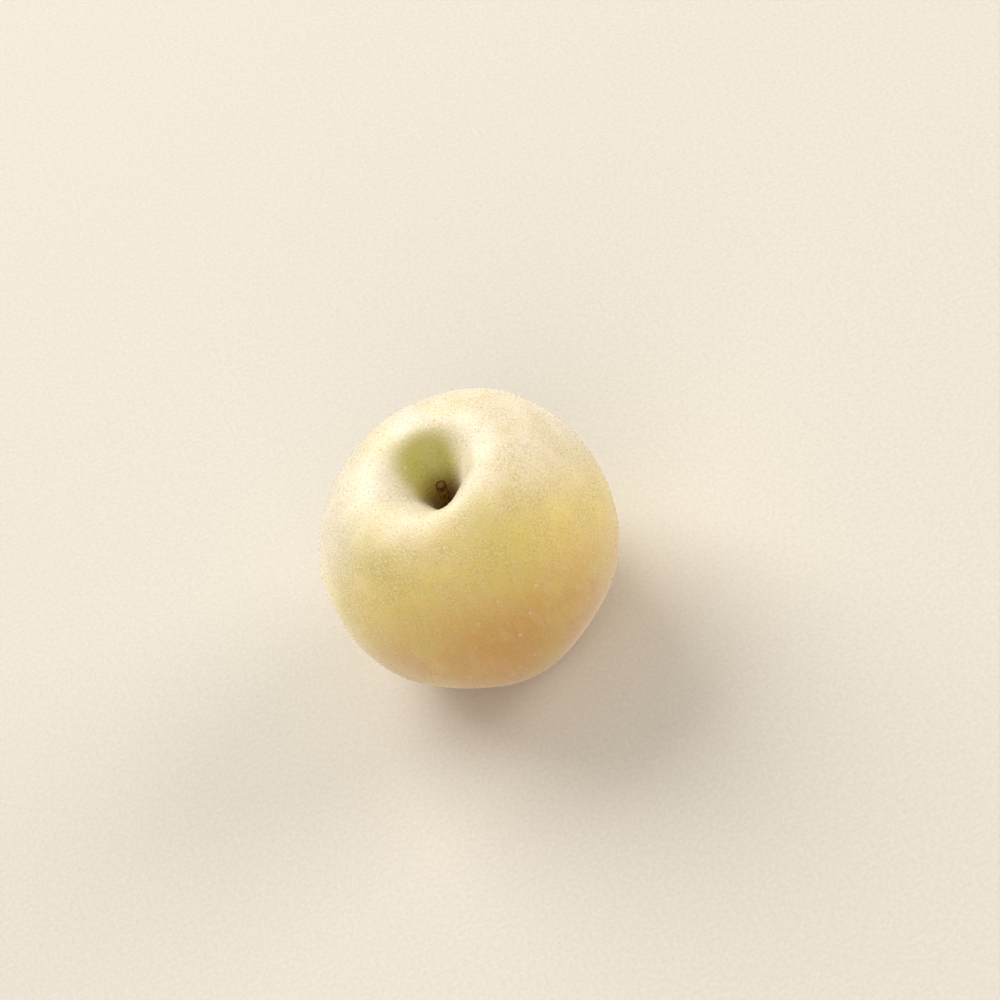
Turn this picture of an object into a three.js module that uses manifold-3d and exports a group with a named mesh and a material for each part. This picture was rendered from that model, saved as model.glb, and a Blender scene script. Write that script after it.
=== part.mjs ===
// A pale golden dessert apple, picked with its short stalk, standing on the lobes of its calyx end.
// Millimetres, +Z up along the core, with the origin on the table under the middle of the fruit.
import * as THREE from "three";
import { mergeVertices } from "three/addons/utils/BufferGeometryUtils.js";
import Module from "manifold-3d";

const { smoothstep } = THREE.MathUtils;
const TURN = 2 * Math.PI;

// Driving dimensions of the fruit.
const WIDTH = 84; // across the fullest part
const HEIGHT = 71.5; // from the table to the crest of the shoulder
const RADIUS = WIDTH / 2;

// The core's two ends, where the stalk and the calyx are rooted in the flesh.
const STALK_HOLE = { radius: 2.1, floor: 52.6, mouth: 54.7 };
const CALYX_HOLE = { radius: 3.9, roof: 11.6, mouth: 9.9 };

// Half of the fruit's section, as shares of its radius and of its height: out of the stalk's
// cavity, over the crest, down the cheek, and round the lobes into the calyx basin.
const CREST = [0.419, 1.0];
const FOOT = [0.405, -0.0123];
const SECTION = [
  [0.083, 0.772],
  [0.102, 0.814],
  [0.131, 0.85],
  [0.174, 0.89],
  [0.219, 0.926],
  [0.264, 0.959],
  [0.318, 0.985],
  [0.367, 0.997],
  CREST,
  [0.514, 0.994],
  [0.604, 0.975],
  [0.679, 0.951],
  [0.735, 0.922],
  [0.796, 0.876],
  [0.864, 0.804],
  [0.94, 0.705],
  [0.988, 0.597],
  [1.0, 0.5],
  [0.984, 0.399],
  [0.93, 0.284],
  [0.83, 0.173],
  [0.7, 0.082],
  [0.555, 0.0205],
  FOOT,
  [0.3, 0.0265],
  [0.22, 0.082],
  [0.152, 0.1245],
];
const SECTION_STEPS = 40;
const ROUND_STEPS = 75;

// What makes the turned form a grown one. Directions are turns about the core, from +X.
const CALYX_REACH = 0.63 * HEIGHT; // the lobes fade out up to here
const STALK_REACH = 0.61 * HEIGHT; // and the shoulder's unevenness fades in from here
const RIM_REACH = 0.285 * HEIGHT; // the rim of the basin rises and falls up to here
const CORE_RADIUS = 2.5; // the round core keeps its form inside this
const CLEAR_RADIUS = 12; // and all the unevenness shows outside this
const SHOULDER_RADIUS = 0.96 * RADIUS; // the crest's shift fades out up to here
const LOBES = 5;
const LOBE_ODDS = { share: 0.12, phase: 0.9 }; // how unlike each other the lobes are
const LOBE_TWIST = 0.3; // radians that the lobes turn on their way up
const LOBE_TURN = 0.15; // where the first lobe points
const LOBE_SWELL = 0.024; // share of the radius by which a lobe stands out at the calyx end
const LOBE_SWELL_TOP = 0.009; // the same at the stalk end
const VALLEY_LIFT = 1.9; // how far the rim of the basin rises between two lobes
const OVAL = { swell: 0.008, turn: 0.02 }; // the fruit's widest way across
const HIGH_SHOULDER = { rise: 1.7, turn: -0.07 }; // the shoulder is highest here, lowest opposite
const CREST_SHIFT = { x: 0.4, y: -1.5 }; // how far the crest's ring lies off the middle
const CAVITY_SHIFT = { x: 0.2, y: -0.5 }; // how far the stalk stands off the middle of that ring
const CAVITY_RIBS = { count: 4, swell: 0.07, phase: 1.19 }; // faint ribs in the cavity: a share of the radius
const FOLD_REACH = { from: 8, to: 21 }; // distances from the core between which a fold fades out
const CAVITY_FOLDS = [
  { turn: -0.05, depth: 1.1, spread: 0.5 }, // the cavity's wall leans in here
  { turn: -0.26, depth: -1.5, spread: 0.38 }, // and is drawn out here
];
const DENTS = [
  { turn: 0.33, height: 63, depth: 1.4, spread: 17 },
  { turn: 0.09, height: 56, depth: -1.3, spread: 16 },
  { turn: 0.93, height: 40, depth: -0.3, spread: 20 },
  { turn: 0.6, height: 28, depth: 0.5, spread: 15 },
  { turn: 0.78, height: 24, depth: -0.4, spread: 14 },
];

// Stalk: a short woody rod, cut or fallen free at a swollen end.
const STALK = {
  length: 12.4,
  waist: 1.35, // radius half way up
  base: 1.7,
  knob: 1.6,
  lean: { x: 0.6, y: -0.6 }, // how far its end stands off its foot
  sides: 14,
  steps: 12,
};

// Calyx: a button with dried sepals round its edge, and withered stamens in its middle.
const JOIN_GAP = 0.3; // kept between pieces that touch
const SEPAL = { count: 5, length: 7.4, width: 3.5, thickness: 0.75, foot: 2.5, sides: 8, steps: 9 };
const BUTTON = { radius: 3.5, bottom: 9.0 };
const STAMEN = { count: 9, length: 3.6, thickness: 0.75, ring: 1.0, spread: 0.6, sides: 6, steps: 4 };
const STAMEN_PAD = { radius: 1.55, thickness: 0.9 };

const skin = new THREE.MeshStandardMaterial({ color: "#e6d389", roughness: 0.42, metalness: 0 });
const wood = new THREE.MeshStandardMaterial({ color: "#6a4a2a", roughness: 0.85, metalness: 0 });
const driedLeaf = new THREE.MeshStandardMaterial({ color: "#6f6340", roughness: 0.9, metalness: 0 });
const driedThread = new THREE.MeshStandardMaterial({ color: "#3f2d1c", roughness: 0.9, metalness: 0 });

const wasm = await Module();
wasm.setup();

/** Moves each vertex of a geometry by a formula that changes the point it is given. */
function warp(geometry, formula) {
  const position = geometry.getAttribute("position");
  const point = new THREE.Vector3();
  for (let i = 0; i < position.count; i++) {
    formula(point.fromBufferAttribute(position, i));
    position.setXYZ(i, point.x, point.y, point.z);
  }
  geometry.computeVertexNormals();
  return geometry;
}

/** A closed geometry as a manifold-3d solid. */
function solidOf(geometry) {
  const bare = geometry.clone();
  bare.deleteAttribute("normal");
  bare.deleteAttribute("uv");
  const merged = mergeVertices(bare, 1e-4);
  return new wasm.Manifold(
    new wasm.Mesh({
      numProp: 3,
      vertProperties: new Float32Array(merged.getAttribute("position").array),
      triVerts: new Uint32Array(merged.getIndex().array),
    }),
  );
}

/** Several closed geometries that overlap, joined in one. */
function fuse(geometries) {
  const joined = geometries.map(solidOf).reduce((sum, solid) => sum.add(solid));
  const mesh = joined.getMesh();
  const geometry = new THREE.BufferGeometry();
  geometry.setAttribute("position", new THREE.BufferAttribute(mesh.vertProperties, 3));
  geometry.setIndex(new THREE.BufferAttribute(mesh.triVerts, 1));
  geometry.computeVertexNormals();
  return geometry;
}

/** An upright round rod from z = 0 to its length, with rings of vertices to warp. */
function rod(radius, length, sides, steps) {
  return new THREE.CylinderGeometry(radius, radius, length, sides, steps)
    .rotateX(Math.PI / 2)
    .translate(0, 0, length / 2);
}

/** The lobes' wave round the core: 1 on a lobe, -1 between two, and a little uneven. */
function lobeWave(angle) {
  const from = angle - LOBE_TURN * TURN;
  const odd = Math.cos(2 * from + LOBE_ODDS.phase);
  return (1 - LOBE_ODDS.share) * Math.cos(LOBES * from) + LOBE_ODDS.share * odd;
}

/** Turns a point of the turned fruit into one of the grown fruit. */
function grow(point) {
  const angle = Math.atan2(point.y, point.x);
  const radius = Math.hypot(point.x, point.y);
  const crestRadius = CREST[0] * RADIUS;
  const toCalyx = 1 - smoothstep(point.z, 0, CALYX_REACH);
  const toStalk = smoothstep(point.z, STALK_REACH, HEIGHT);
  const isUpper = point.z > HEIGHT / 2 ? 1 : 0;
  const inCavity = isUpper * (1 - smoothstep(radius, CORE_RADIUS, crestRadius));
  const insideShoulder = isUpper * (1 - smoothstep(radius, crestRadius, SHOULDER_RADIUS));
  const clearOfCore = smoothstep(radius, CALYX_HOLE.radius, CLEAR_RADIUS);
  const wave = lobeWave(angle);

  let share = LOBE_SWELL * toCalyx * wave + LOBE_SWELL_TOP * toStalk * lobeWave(angle + LOBE_TWIST);
  share += OVAL.swell * Math.cos(2 * (angle - OVAL.turn * TURN));
  share *= clearOfCore;

  if (inCavity > 0) {
    const offCore = smoothstep(radius, CORE_RADIUS, CLEAR_RADIUS / 2);
    share += CAVITY_RIBS.swell * inCavity * offCore * Math.cos(CAVITY_RIBS.count * angle + CAVITY_RIBS.phase);
    const onWall = smoothstep(radius, CORE_RADIUS, FOLD_REACH.from)
      * (1 - smoothstep(radius, CLEAR_RADIUS, FOLD_REACH.to));
    for (const fold of CAVITY_FOLDS) {
      const beside = (angle - fold.turn * TURN) / fold.spread;
      share -= (fold.depth / Math.max(radius, 1)) * onWall * Math.exp(-(beside ** 2));
    }
  }

  for (const dent of DENTS) {
    const away = new THREE.Vector3(
      RADIUS * Math.cos(dent.turn * TURN),
      RADIUS * Math.sin(dent.turn * TURN),
      dent.height,
    ).distanceTo(point);
    share -= (dent.depth / RADIUS) * Math.exp(-((away / dent.spread) ** 2) / 2);
  }

  const onRim = clearOfCore * (1 - smoothstep(point.z, 0, RIM_REACH));
  const rise = HIGH_SHOULDER.rise * toStalk * clearOfCore;
  point.x += radius * share * Math.cos(angle);
  point.y += radius * share * Math.sin(angle);
  point.x += CREST_SHIFT.x * insideShoulder + CAVITY_SHIFT.x * inCavity;
  point.y += CREST_SHIFT.y * insideShoulder + CAVITY_SHIFT.y * inCavity;
  point.z += rise * Math.cos(angle - HIGH_SHOULDER.turn * TURN);
  point.z += (VALLEY_LIFT * onRim * (1 - wave)) / 2;
  point.z = Math.max(point.z, 0); // the lobes are pressed flat where the fruit stands on them
}

/** The fruit, flesh and skin in one: its section turned about the core, then grown. */
function fruitGeometry() {
  const curve = new THREE.SplineCurve(
    SECTION.map(([across, up]) => new THREE.Vector2(across * RADIUS, up * HEIGHT)),
  );
  const outline = [
    new THREE.Vector2(0, STALK_HOLE.floor),
    new THREE.Vector2(STALK_HOLE.radius, STALK_HOLE.floor),
    new THREE.Vector2(STALK_HOLE.radius, STALK_HOLE.mouth),
    ...curve.getSpacedPoints(SECTION_STEPS),
    new THREE.Vector2(CALYX_HOLE.radius, CALYX_HOLE.mouth),
    new THREE.Vector2(CALYX_HOLE.radius, CALYX_HOLE.roof),
    new THREE.Vector2(0, CALYX_HOLE.roof),
  ];
  const turned = new THREE.LatheGeometry(outline.reverse(), ROUND_STEPS).rotateX(Math.PI / 2);
  return warp(turned, grow);
}

/** The stalk, on its foot at the origin: waisted, faintly angular, and bent as it rises. */
function stalkGeometry() {
  return warp(rod(1, STALK.length, STALK.sides, STALK.steps), (point) => {
    const up = point.z / STALK.length;
    const angle = Math.atan2(point.y, point.x);
    const toKnob = smoothstep(up, 0.62, 0.93) * (1 - 0.35 * smoothstep(up, 0.93, 1));
    const toFoot = 1 - smoothstep(up, 0, 0.4);
    let radius = STALK.waist + (STALK.base - STALK.waist) * toFoot + (STALK.knob - STALK.waist) * toKnob;
    radius *= 1 + 0.05 * up * Math.cos(3 * angle + 0.7);
    point.x = point.x * radius + STALK.lean.x * up * up;
    point.y = point.y * radius + STALK.lean.y * up * up;
  });
}

/** One dried sepal, rooted in the button and curling outward as it hangs towards the table. */
function sepalGeometry(index) {
  const curl = 0.85 + 0.3 * Math.sin(2.4 * index + 0.5);
  const length = SEPAL.length * (0.94 + 0.08 * Math.cos(1.7 * index));
  const blade = warp(rod(1, length, SEPAL.sides, SEPAL.steps), (point) => {
    const along = point.z / length;
    const half = 0.5 * SEPAL.width * (0.62 + 0.5 * Math.sin(Math.PI * Math.min(along * 1.25, 1)));
    const taper = along < 0.25 ? 1 : 1 - 0.86 * ((along - 0.25) / 0.75) ** 1.4;
    const across = -point.y * half * taper; // it hangs down, and this mirror keeps its faces out
    const through = point.x * 0.5 * SEPAL.thickness * (1 - 0.15 * along);
    // The blade's middle line is an arc that starts down and swings outward.
    const swing = curl * (0.25 + 1.05 * along);
    const cupped = 0.1 * across * across * (1 - along);
    const reach = length * (0.16 * along + 0.42 * curl * along * along);
    const drop = length * (0.8 * along - 0.24 * curl * along * along);
    point.x = SEPAL.foot + reach + through * Math.cos(swing) - cupped;
    point.y = across;
    point.z = BUTTON.bottom + 0.9 - drop + through * Math.sin(swing);
  });
  return blade.rotateZ((index / SEPAL.count) * TURN + 0.12 * Math.sin(5 * index));
}

/** The calyx: the button that closes the core and the sepals that grew round it. */
function calyxGeometry() {
  const height = CALYX_HOLE.roof - JOIN_GAP - BUTTON.bottom;
  const button = rod(BUTTON.radius, height, 24, 1).translate(0, 0, BUTTON.bottom);
  const sepals = Array.from({ length: SEPAL.count }, (_, index) => sepalGeometry(index));
  return fuse([button, ...sepals]);
}

/** The withered stamens: threads that spread from a small pad under the button. */
function stamenGeometry() {
  const top = BUTTON.bottom - JOIN_GAP;
  const pad = rod(STAMEN_PAD.radius, STAMEN_PAD.thickness, 16, 1)
    .translate(0, 0, top - STAMEN_PAD.thickness);
  const threads = Array.from({ length: STAMEN.count }, (_, index) => {
    const angle = (index / STAMEN.count) * TURN;
    const length = STAMEN.length * (0.82 + 0.18 * Math.cos(2.1 * index));
    return warp(rod(0.5 * STAMEN.thickness, length, STAMEN.sides, STAMEN.steps), (point) => {
      const along = point.z / length;
      const swell = 1 + 0.35 * smoothstep(along, 0.7, 0.9);
      point.x = point.x * swell + STAMEN.ring + STAMEN.spread * along * along;
      point.y = point.y * swell;
      point.z = top - 0.3 - point.z;
      // Hanging the thread upside down turns it inside out, and this mirror turns it back.
      point.y = -point.y;
    }).rotateZ(angle);
  });
  return fuse([pad, ...threads]);
}

/** A named piece of the apple. */
function piece(name, geometry, material) {
  const mesh = new THREE.Mesh(geometry, material);
  mesh.name = name;
  return mesh;
}

const fruit = piece("fruit", fruitGeometry(), skin);
const stalk = piece("stalk", stalkGeometry(), wood);
stalk.position.set(
  CREST_SHIFT.x + CAVITY_SHIFT.x,
  CREST_SHIFT.y + CAVITY_SHIFT.y,
  STALK_HOLE.floor + JOIN_GAP,
);
const calyx = piece("calyx_sepals", calyxGeometry(), driedLeaf);
const stamens = piece("calyx_stamens", stamenGeometry(), driedThread);

// The grown fruit is a little uneven, so it is set with its middle over the origin.
const apple = new THREE.Group();
apple.add(fruit, stalk, calyx, stamens);
const middle = new THREE.Box3().setFromObject(fruit).getCenter(new THREE.Vector3());
apple.position.set(-middle.x, -middle.y, 0);

export default apple;
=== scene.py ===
"""A pale golden dessert apple beaded with dew, dressed over its frame of plain solids.

The fruit stands on the lobes of its calyx end with +Z up along its core, as in the frame, and
everything is in metres. The camera looks down on the stalk's cavity, as in the photograph.
"""

import logging
import math
import random
from contextlib import contextmanager
from dataclasses import dataclass
from enum import Enum
from typing import Any, Callable, Iterator

import bpy
from mathutils import Euler, Matrix, Vector, noise


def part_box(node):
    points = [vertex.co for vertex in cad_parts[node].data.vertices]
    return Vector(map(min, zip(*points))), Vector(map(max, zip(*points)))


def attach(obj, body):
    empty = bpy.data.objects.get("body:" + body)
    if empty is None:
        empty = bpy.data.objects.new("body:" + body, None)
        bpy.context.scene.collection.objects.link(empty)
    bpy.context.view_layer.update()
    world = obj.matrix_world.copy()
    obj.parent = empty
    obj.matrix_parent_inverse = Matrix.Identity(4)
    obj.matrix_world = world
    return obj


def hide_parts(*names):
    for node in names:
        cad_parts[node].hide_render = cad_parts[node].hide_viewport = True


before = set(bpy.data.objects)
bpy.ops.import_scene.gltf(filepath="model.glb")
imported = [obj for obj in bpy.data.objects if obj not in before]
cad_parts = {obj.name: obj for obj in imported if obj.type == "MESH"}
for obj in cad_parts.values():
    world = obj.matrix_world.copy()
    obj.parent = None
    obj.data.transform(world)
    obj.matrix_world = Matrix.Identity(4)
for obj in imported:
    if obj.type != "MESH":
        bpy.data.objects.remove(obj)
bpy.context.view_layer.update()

MM = 0.001
BODY = "root"
LOG = logging.getLogger("golden_apple")
RIPE_AND_SHADED_SIDE = (-0.04, -0.76, -0.69)  # from the pale, wet shoulder to the ripe lower near side, where less dew settles; the skin turns gold and amber along it, partly ripening and partly painted shade
FAR_SIDE = (0.0, 0.67, -0.74)  # towards the side that the photograph doesn't show
FACING = 0.8  # the least share of a face's normal that points up or down, for it to count as an end
MIX_SHARE, MIX_UNDER, MIX_OVER, MIX_RESULT = 0, 6, 7, 2  # a Mix node's sockets when it mixes colours

Fade = tuple[float, float]  # where a mask is 0, and where it is 1


# Helpers for colours, nodes and modelling


def linear(hex_colour: str) -> tuple[float, float, float, float]:
    """Turn an sRGB hex colour into the linear colour that shaders work in.

    Args:
        hex_colour: A colour such as "#e6d389".

    Returns:
        The linear red, green, blue and an alpha of 1.
    """
    shares = [int(hex_colour[i : i + 2], 16) / 255 for i in (1, 3, 5)]
    red, green, blue = (s / 12.92 if s <= 0.04045 else ((s + 0.055) / 1.055) ** 2.4 for s in shares)
    return red, green, blue, 1.0


def add_node(
    tree: bpy.types.NodeTree,
    kind: str,
    settings: dict[str, Any] | None = None,
    inputs: dict[str | int, Any] | None = None,
) -> bpy.types.Node:
    """Add one node to a tree, with its settings, its values and its links.

    Args:
        tree: The node tree.
        kind: The node's type, such as "ShaderNodeMath".
        settings: Properties of the node by name.
        inputs: What goes into its sockets, by name or number: a value, or an output to link.

    Returns:
        The new node.
    """
    node = tree.nodes.new(kind)
    for name, value in (settings or {}).items():
        setattr(node, name, value)
    for name, value in (inputs or {}).items():
        if isinstance(value, bpy.types.NodeSocket):
            tree.links.new(value, node.inputs[name])
        else:
            node.inputs[name].default_value = value
    return node


def ramp_stops(node: bpy.types.Node, stops: list[tuple[float, tuple[float, ...]]]) -> bpy.types.Node:
    """Set the stops of a colour ramp.

    Args:
        node: A colour ramp node.
        stops: The position and the linear colour of each stop, in order.

    Returns:
        The same node.
    """
    elements = node.color_ramp.elements
    while len(elements) < len(stops):
        elements.new(0.5)
    for element, (position, colour) in zip(elements, stops):
        element.position = position
        element.color = colour
    return node


def deselect_all() -> None:
    """Leave nothing selected, in object mode."""
    if bpy.context.object and bpy.context.object.mode != "OBJECT":
        bpy.ops.object.mode_set(mode="OBJECT")
    bpy.ops.object.select_all(action="DESELECT")


def only(piece: bpy.types.Object) -> bpy.types.Object:
    """Make one object the only selected one and the active one, and return it."""
    deselect_all()
    piece.select_set(True)
    bpy.context.view_layer.objects.active = piece
    return piece


def apply_modifier(piece: bpy.types.Object, kind: str, **settings: Any) -> None:
    """Add a modifier to a piece and apply it.

    Args:
        piece: The object.
        kind: The modifier's type, such as "SUBSURF".
        **settings: The modifier's properties.
    """
    only(piece)
    modifier = piece.modifiers.new(kind.lower(), kind)
    for name, value in settings.items():
        setattr(modifier, name, value)
    bpy.ops.object.modifier_apply(modifier=modifier.name)


def subdivide_smooth(piece: bpy.types.Object, levels: int) -> None:
    """Round a piece with an applied Subdivision Surface.

    Args:
        piece: The object.
        levels: How many times each face is split in four.
    """
    apply_modifier(piece, "SUBSURF", levels=levels, render_levels=levels)


def shape(piece: bpy.types.Object, formula: Callable[[Vector], Vector]) -> None:
    """Move every point of a mesh by a formula.

    Args:
        piece: The object.
        formula: Gives the new place of a point.
    """
    for vertex in piece.data.vertices:
        vertex.co = formula(vertex.co.copy())
    piece.data.update()


def select_faces(piece: bpy.types.Object, wanted: Callable[[bpy.types.MeshPolygon], bool]) -> None:
    """Select some faces of a piece by their place or normal, and go into edit mode on them.

    Args:
        piece: The object.
        wanted: Says which faces to select.
    """
    only(piece)
    bpy.ops.object.mode_set(mode="EDIT")
    bpy.ops.mesh.select_mode(type="FACE")
    bpy.ops.mesh.select_all(action="DESELECT")
    bpy.ops.object.mode_set(mode="OBJECT")
    for face in piece.data.polygons:
        face.select = wanted(face)
    bpy.ops.object.mode_set(mode="EDIT")


@contextmanager
def all_in_edit_mode(piece: bpy.types.Object) -> Iterator[None]:
    """Go into edit mode on a piece with all of it selected, and back to object mode afterwards."""
    only(piece)
    bpy.ops.object.mode_set(mode="EDIT")
    bpy.ops.mesh.select_all(action="SELECT")
    yield
    bpy.ops.object.mode_set(mode="OBJECT")


def add_object(name: str, data: bpy.types.ID) -> bpy.types.Object:
    """Put a new object in the scene.

    Args:
        name: Its name, which its data take too.
        data: Its mesh, light or camera.

    Returns:
        The object, at the origin.
    """
    data.name = name
    made = bpy.data.objects.new(name, data)
    bpy.context.scene.collection.objects.link(made)
    return made


def merged_copy(node: str, name: str) -> bpy.types.Object:
    """Copy a solid of the frame and merge its loose triangles to one surface of quads.

    Args:
        node: The solid's name in the frame.
        name: The new piece's name.

    Returns:
        The new object, at the origin.
    """
    piece = add_object(name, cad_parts[node].data.copy())
    piece.data.materials.clear()
    flat, square = math.radians(50), math.radians(60)
    with all_in_edit_mode(piece):
        bpy.ops.mesh.remove_doubles(threshold=0.001 * MM)
        bpy.ops.mesh.tris_convert_to_quads(face_threshold=flat, shape_threshold=square)
    return piece


def join(pieces: list[bpy.types.Object], name: str) -> bpy.types.Object:
    """Join several objects in one mesh.

    Args:
        pieces: The objects.
        name: The joined piece's name.

    Returns:
        The joined object.
    """
    joined = only(pieces[0])
    for piece in pieces:
        piece.select_set(True)
    bpy.ops.object.join()
    joined.name = name
    joined.data.name = name
    return joined


def outward(piece: bpy.types.Object) -> None:
    """Turn every face of a closed mesh outwards."""
    with all_in_edit_mode(piece):
        bpy.ops.mesh.normals_make_consistent(inside=False)


def settle(piece: bpy.types.Object) -> None:
    """Put a piece's place in its mesh, so that its object sits at the origin, unturned and unscaled."""
    only(piece)
    bpy.ops.object.transform_apply(location=True, rotation=True, scale=True)


def finish_piece(piece: bpy.types.Object, material: bpy.types.Material) -> None:
    """Give a piece its material, smooth shading and its body.

    Args:
        piece: The object.
        material: Its only material.
    """
    piece.data.materials.clear()
    piece.data.materials.append(material)
    only(piece)
    bpy.ops.object.shade_smooth()
    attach(piece, BODY)
    LOG.info("%s: %d faces", piece.name, len(piece.data.polygons))


def new_material(name: str) -> tuple[bpy.types.Material, bpy.types.NodeTree, bpy.types.Node]:
    """Start a material.

    Args:
        name: What the real material is.

    Returns:
        The material, its node tree and its Principled node.
    """
    material = bpy.data.materials.new(name)
    material.use_nodes = True
    tree = material.node_tree
    return material, tree, tree.nodes["Principled BSDF"]


def smooth_step(value: float, low: float, high: float) -> float:
    """Rise smoothly from 0 at low to 1 at high."""
    share = min(max((value - low) / (high - low), 0.0), 1.0)
    return share * share * (3 - 2 * share)


def per_metre(size_mm: float) -> float:
    """Give the scale of a pattern that repeats at a size in millimetres."""
    return 1 / (size_mm * MM)


def towards(
    tree: bpy.types.NodeTree, place: bpy.types.NodeSocket, side: tuple[float, float, float]
) -> bpy.types.NodeSocket:
    """Measure how far a point lies towards a side of the fruit.

    Args:
        tree: The node tree.
        place: The point.
        side: The side's direction.

    Returns:
        The measure's output, in metres.
    """
    node = add_node(tree, "ShaderNodeVectorMath", {"operation": "DOT_PRODUCT"}, {0: place, 1: side})
    return node.outputs["Value"]


def foot_of(node: str) -> Vector:
    """Give the middle of the underside of a solid's box in the frame."""
    low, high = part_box(node)
    return Vector(((low.x + high.x) / 2, (low.y + high.y) / 2, low.z))


# Finishes


@dataclass(frozen=True)
class Coat:
    """A thin coat of colour: its hex colour, where it fades in, and how much of it shows at most."""

    colour: str
    fade: Fade
    share: float


@dataclass
class Paint:
    """Colour on a surface, built up in thin coats.

    Attributes:
        tree: The material's node tree.
        place: The output that gives the point on the surface.
        colour: The colour so far, as an output or a linear colour.
    """

    tree: bpy.types.NodeTree
    place: bpy.types.NodeSocket
    colour: Any

    def mask(self, value: bpy.types.NodeSocket, fade: Fade, unit: float = 1.0) -> bpy.types.NodeSocket:
        """Turn a measure into a smooth mask.

        Args:
            value: The measure.
            fade: Where the mask is 0 and where it is 1.
            unit: What the fade is counted in.

        Returns:
            The mask's output.
        """
        none, full = fade[0] * unit, fade[1] * unit
        rises = none < full
        node = add_node(
            self.tree,
            "ShaderNodeMapRange",
            {"interpolation_type": "SMOOTHSTEP"},
            {
                "Value": value,
                "From Min": min(none, full),
                "From Max": max(none, full),
                "To Min": 0.0 if rises else 1.0,
                "To Max": 1.0 if rises else 0.0,
            },
        )
        return node.outputs["Result"]

    def product(self, *factors: Any) -> bpy.types.NodeSocket:
        """Multiply masks and numbers together and return the product's output."""
        result = factors[0]
        for factor in factors[1:]:
            node = add_node(self.tree, "ShaderNodeMath", {"operation": "MULTIPLY"}, {0: result, 1: factor})
            result = node.outputs[0]
        return result

    def lay(
        self, coat: Coat, value: bpy.types.NodeSocket, *masks: bpy.types.NodeSocket, unit: float = 1.0
    ) -> bpy.types.NodeSocket:
        """Lay a coat over the colour so far.

        Args:
            coat: The coat.
            value: The measure that it fades in along.
            *masks: What else holds it back.
            unit: What its fade is counted in.

        Returns:
            The output that says where it shows, before its share.
        """
        shows = self.product(self.mask(value, coat.fade, unit), *masks)
        share = self.product(shows, coat.share)
        inputs = {MIX_SHARE: share, MIX_UNDER: self.colour, MIX_OVER: linear(coat.colour)}
        node = add_node(self.tree, "ShaderNodeMix", {"data_type": "RGBA"}, inputs)
        self.colour = node.outputs[MIX_RESULT]
        return shows

    def distance_to(self, centre: tuple[float, ...], upright: float = 1.0) -> bpy.types.NodeSocket:
        """Measure how far the point is from a centre.

        Args:
            centre: The centre, in metres.
            upright: How much of the height counts, so that 0 measures from an upright line.

        Returns:
            The distance's output, in metres.
        """
        kind = "ShaderNodeVectorMath"
        away = add_node(self.tree, kind, {"operation": "SUBTRACT"}, {0: self.place, 1: centre})
        scale = (1.0, 1.0, upright)
        flat = add_node(self.tree, kind, {"operation": "MULTIPLY"}, {0: away.outputs[0], 1: scale})
        length = add_node(self.tree, kind, {"operation": "LENGTH"}, {0: flat.outputs[0]})
        return length.outputs["Value"]


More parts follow.
